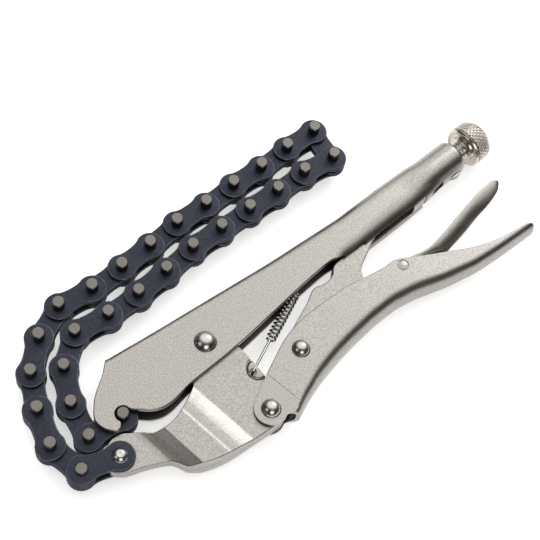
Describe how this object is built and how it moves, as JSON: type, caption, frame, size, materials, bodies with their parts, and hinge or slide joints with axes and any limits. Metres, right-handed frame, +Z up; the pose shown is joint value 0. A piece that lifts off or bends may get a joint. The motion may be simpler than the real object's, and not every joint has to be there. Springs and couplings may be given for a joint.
{
  "type": "chain clamp",
  "caption": "Locking pliers with a pivoted jaw carrying a roller-type chain whose end pin drops in a hook on the upper handle, with a knurled adjusting screw.",
  "frame": {"origin": "on the main pivot's axis, at the flat land of the main rivet's lower head, which rests on the bench", "axes": "+X along the upper handle toward the adjusting knob, +Y from the lower lever toward the chain, +Z up off the bench"},
  "size_m": [0.2498, 0.1096, 0.02],
  "materials": {
    "satin_nickel": "satin, sand-blasted nickel plate",
    "polished_rivets": "polished steel",
    "knurled_knob": "diamond knurled, nickel plated",
    "threaded_screw": "cut thread, nickel plated",
    "spring_wire": "black spring steel, semi-gloss",
    "chain_oxide": "blue-black oxide with bright worn edges"
  },
  "bodies": {
    "handle": {"upper_handle": "satin_nickel", "main_rivet": "polished_rivets"},
    "jaw": {"clamp_jaw": "satin_nickel", "lever_rivet": "polished_rivets", "chain_anchor_rivet": "polished_rivets", "return_spring": "spring_wire"},
    "lever": {"lower_lever": "satin_nickel", "link_rivet": "polished_rivets", "release_rivet": "polished_rivets"},
    "toggle": {"toggle_link": "satin_nickel"},
    "release": {"release_lever": "satin_nickel"},
    "screw": {"adjusting_screw": "threaded_screw"},
    "knob": {"adjusting_knob": "knurled_knob"},
    "link_01": {"chain_link_01": "chain_oxide"},
    "link_02": {"chain_link_02": "chain_oxide"},
    "link_03": {"chain_link_03": "chain_oxide"},
    "link_04": {"chain_link_04": "chain_oxide"},
    "link_05": {"chain_link_05": "chain_oxide"},
    "link_06": {"chain_link_06": "chain_oxide"},
    "link_07": {"chain_link_07": "chain_oxide"},
    "link_08": {"chain_link_08": "chain_oxide"},
    "link_09": {"chain_link_09": "chain_oxide"},
    "link_10": {"chain_link_10": "chain_oxide"},
    "link_11": {"chain_link_11": "chain_oxide"},
    "link_12": {"chain_link_12": "chain_oxide"},
    "link_13": {"chain_link_13": "chain_oxide"},
    "link_14": {"chain_link_14": "chain_oxide"},
    "link_15": {"chain_link_15": "chain_oxide"},
    "link_16": {"chain_link_16": "chain_oxide"},
    "link_17": {"chain_link_17": "chain_oxide"},
    "link_18": {"chain_link_18": "chain_oxide"},
    "link_19": {"chain_link_19": "chain_oxide"},
    "link_20": {"chain_link_20": "chain_oxide"},
    "link_21": {"chain_link_21": "chain_oxide"},
    "link_22": {"chain_link_22": "chain_oxide"},
    "link_23": {"chain_link_23": "chain_oxide"},
    "link_24": {"chain_link_24": "chain_oxide"},
    "link_25": {"chain_link_25": "chain_oxide"},
    "link_26": {"chain_link_26": "chain_oxide"},
    "link_27": {"chain_link_27": "chain_oxide"},
    "link_28": {"chain_link_28": "chain_oxide"},
    "link_29": {"chain_link_29": "chain_oxide"}
  },
  "joints": [
    {"name": "jaw_pivot", "type": "hinge", "parent": "handle", "child": "jaw", "pos_m": [0, 0, 0.01], "axis": [0, 0, 1], "range_deg": [0, 12], "deforming": ["return_spring"]},
    {"name": "lever_pivot", "type": "hinge", "parent": "jaw", "child": "lever", "pos_m": [0.0016, -0.0388, 0.01], "axis": [0, 0, 1], "range_deg": [-65, 0]},
    {"name": "toggle_pivot", "type": "hinge", "parent": "lever", "child": "toggle", "pos_m": [0.0288, -0.0273, 0.01], "axis": [0, 0, 1], "range_deg": [0, 75]},
    {"name": "release_pivot", "type": "hinge", "parent": "lever", "child": "release", "pos_m": [0.0905, -0.0265, 0.01], "axis": [0, 0, 1], "range_deg": [-9, 0]},
    {"name": "screw_travel", "type": "slide", "parent": "handle", "child": "screw", "axis": [1, 0, 0], "range_m": [0, 0.009]},
    {"name": "knob_turn", "type": "hinge", "parent": "screw", "child": "knob", "pos_m": [0.16, 0, 0.01], "axis": [1, 0, 0], "range_deg": [0, 2160]},
    {"name": "chain_joint_01", "type": "hinge", "parent": "jaw", "child": "link_01", "pos_m": [-0.0567, -0.0148, 0.01], "axis": [0, 0, 1], "range_deg": [-5, 0]},
    {"name": "chain_joint_02", "type": "hinge", "parent": "link_01", "child": "link_02", "pos_m": [-0.07171, -0.00963, 0.01], "axis": [0, 0, 1], "range_deg": [0, 5.3]},
    {"name": "chain_joint_03", "type": "hinge", "parent": "link_02", "child": "link_03", "pos_m": [-0.07474, 0.00595, 0.01], "axis": [0, 0, 1], "range_deg": [-2.9, 0]},
    {"name": "chain_joint_04", "type": "hinge", "parent": "link_03", "child": "link_04", "pos_m": [-0.06957, 0.02096, 0.01], "axis": [0, 0, 1], "range_deg": [0, 5]},
    {"name": "chain_joint_05", "type": "hinge", "parent": "link_04", "child": "link_05", "pos_m": [-0.06212, 0.03498, 0.01], "axis": [0, 0, 1], "range_deg": [-8.5, 0]},
    {"name": "chain_joint_06", "type": "hinge", "parent": "link_05", "child": "link_06", "pos_m": [-0.05014, 0.04539, 0.01], "axis": [0, 0, 1], "range_deg": [0, 4.2]},
    {"name": "chain_joint_07", "type": "hinge", "parent": "link_06", "child": "link_07", "pos_m": [-0.03542, 0.05134, 0.01], "axis": [0, 0, 1], "range_deg": [0, 9]},
    {"name": "chain_joint_08", "type": "hinge", "parent": "link_07", "child": "link_08", "pos_m": [-0.0197, 0.04913, 0.01], "axis": [0, 0, 1], "range_deg": [-19, 0]},
    {"name": "chain_joint_09", "type": "hinge", "parent": "link_08", "child": "link_09", "pos_m": [-0.00382, 0.04913, 0.01], "axis": [0, 0, 1], "range_deg": [0, 9.6]},
    {"name": "chain_joint_10", "type": "hinge", "parent": "link_09", "child": "link_10", "pos_m": [0.01204, 0.04968, 0.01], "axis": [0, 0, 1], "range_deg": [0, 10]},
    {"name": "chain_joint_11", "type": "hinge", "parent": "link_10", "child": "link_11", "pos_m": [0.02788, 0.05079, 0.01], "axis": [0, 0, 1], "range_deg": [-18.2, 0]},
    {"name": "chain_joint_12", "type": "hinge", "parent": "link_11", "child": "link_12", "pos_m": [0.04373, 0.04996, 0.01], "axis": [0, 0, 1], "range_deg": [0, 8.5]},
    {"name": "chain_joint_13", "type": "hinge", "parent": "link_12", "child": "link_13", "pos_m": [0.05961, 0.04996, 0.01], "axis": [0, 0, 1], "range_deg": [0, 8]},
    {"name": "chain_joint_14", "type": "hinge", "parent": "link_13", "child": "link_14", "pos_m": [0.07546, 0.04913, 0.01], "axis": [0, 0, 1], "range_deg": [-17.6, 0]},
    {"name": "chain_joint_15", "type": "hinge", "parent": "link_14", "child": "link_15", "pos_m": [0.09133, 0.04941, 0.01], "axis": [0, 0, 1], "range_deg": [0, 9.4]},
    {"name": "chain_joint_16", "type": "hinge", "parent": "link_15", "child": "link_16", "pos_m": [0.10719, 0.04858, 0.01], "axis": [0, 0, 1], "range_deg": [0, 5]},
    {"name": "chain_joint_17", "type": "hinge", "parent": "link_16", "child": "link_17", "pos_m": [0.1047, 0.0329, 0.01], "axis": [0, 0, 1], "range_deg": [0, 5.9]},
    {"name": "chain_joint_18", "type": "hinge", "parent": "link_17", "child": "link_18", "pos_m": [0.08902, 0.03538, 0.01], "axis": [0, 0, 1], "range_deg": [-12.3, 0]},
    {"name": "chain_joint_19", "type": "hinge", "parent": "link_18", "child": "link_19", "pos_m": [0.07315, 0.03566, 0.01], "axis": [0, 0, 1], "range_deg": [0, 9]},
    {"name": "chain_joint_20", "type": "hinge", "parent": "link_19", "child": "link_20", "pos_m": [0.0573, 0.03649, 0.01], "axis": [0, 0, 1], "range_deg": [-18.4, 0]},
    {"name": "chain_joint_21", "type": "hinge", "parent": "link_20", "child": "link_21", "pos_m": [0.04143, 0.03704, 0.01], "axis": [0, 0, 1], "range_deg": [0, 9.5]},
    {"name": "chain_joint_22", "type": "hinge", "parent": "link_21", "child": "link_22", "pos_m": [0.02557, 0.0376, 0.01], "axis": [0, 0, 1], "range_deg": [0, 8]},
    {"name": "chain_joint_23", "type": "hinge", "parent": "link_22", "child": "link_23", "pos_m": [0.00975, 0.03621, 0.01], "axis": [0, 0, 1], "range_deg": [-17.3, 0]},
    {"name": "chain_joint_24", "type": "hinge", "parent": "link_23", "child": "link_24", "pos_m": [-0.0061, 0.03538, 0.01], "axis": [0, 0, 1], "range_deg": [0, 10.6]},
    {"name": "chain_joint_25", "type": "hinge", "parent": "link_24", "child": "link_25", "pos_m": [-0.02197, 0.03566, 0.01], "axis": [0, 0, 1], "range_deg": [-1.5, 0]},
    {"name": "chain_joint_26", "type": "hinge", "parent": "link_25", "child": "link_26", "pos_m": [-0.03769, 0.03787, 0.01], "axis": [0, 0, 1], "range_deg": [-3, 3]},
    {"name": "chain_joint_27", "type": "hinge", "parent": "link_26", "child": "link_27", "pos_m": [-0.05054, 0.02854, 0.01], "axis": [0, 0, 1], "range_deg": [-5.2, 5.2]},
    {"name": "chain_joint_28", "type": "hinge", "parent": "link_27", "child": "link_28", "pos_m": [-0.05799, 0.01452, 0.01], "axis": [0, 0, 1], "range_deg": [-2.1, 2.1]},
    {"name": "chain_joint_29", "type": "hinge", "parent": "link_28", "child": "link_29", "pos_m": [-0.06128, -0.00101, 0.01], "axis": [0, 0, 1], "range_deg": [-1.6, 1.6]}
  ],
  "couplings": [
    {"joint": "lever_pivot", "follows": "jaw_pivot", "ratio": -5.2},
    {"joint": "toggle_pivot", "follows": "jaw_pivot", "ratio": 5.9},
    {"joint": "knob_turn", "follows": "screw_travel", "rad_per_m": 4188.8},
    {"joint": "chain_joint_02", "follows": "chain_joint_01", "ratio": -1.049},
    {"joint": "chain_joint_03", "follows": "chain_joint_01", "ratio": 0.558},
    {"joint": "chain_joint_05", "follows": "chain_joint_04", "ratio": -1.678},
    {"joint": "chain_joint_06", "follows": "chain_joint_04", "ratio": 0.823},
    {"joint": "chain_joint_08", "follows": "chain_joint_07", "ratio": -2.102},
    {"joint": "chain_joint_09", "follows": "chain_joint_07", "ratio": 1.06},
    {"joint": "chain_joint_11", "follows": "chain_joint_10", "ratio": -1.809},
    {"joint": "chain_joint_12", "follows": "chain_joint_10", "ratio": 0.843},
    {"joint": "chain_joint_14", "follows": "chain_joint_13", "ratio": -2.191},
    {"joint": "chain_joint_15", "follows": "chain_joint_13", "ratio": 1.169},
    {"joint": "chain_joint_17", "follows": "chain_joint_16", "ratio": 1.164},
    {"joint": "chain_joint_18", "follows": "chain_joint_16", "ratio": -2.434},
    {"joint": "chain_joint_20", "follows": "chain_joint_19", "ratio": -2.035},
    {"joint": "chain_joint_21", "follows": "chain_joint_19", "ratio": 1.041},
    {"joint": "chain_joint_23", "follows": "chain_joint_22", "ratio": -2.15},
    {"joint": "chain_joint_24", "follows": "chain_joint_22", "ratio": 1.317},
    {"joint": "chain_joint_25", "follows": "chain_joint_22", "ratio": -0.177},
    {"joint": "chain_joint_27", "follows": "chain_joint_26", "ratio": -1.7},
    {"joint": "chain_joint_28", "follows": "chain_joint_26", "ratio": 0.679},
    {"joint": "chain_joint_29", "follows": "chain_joint_26", "ratio": 0.5}
  ]
}
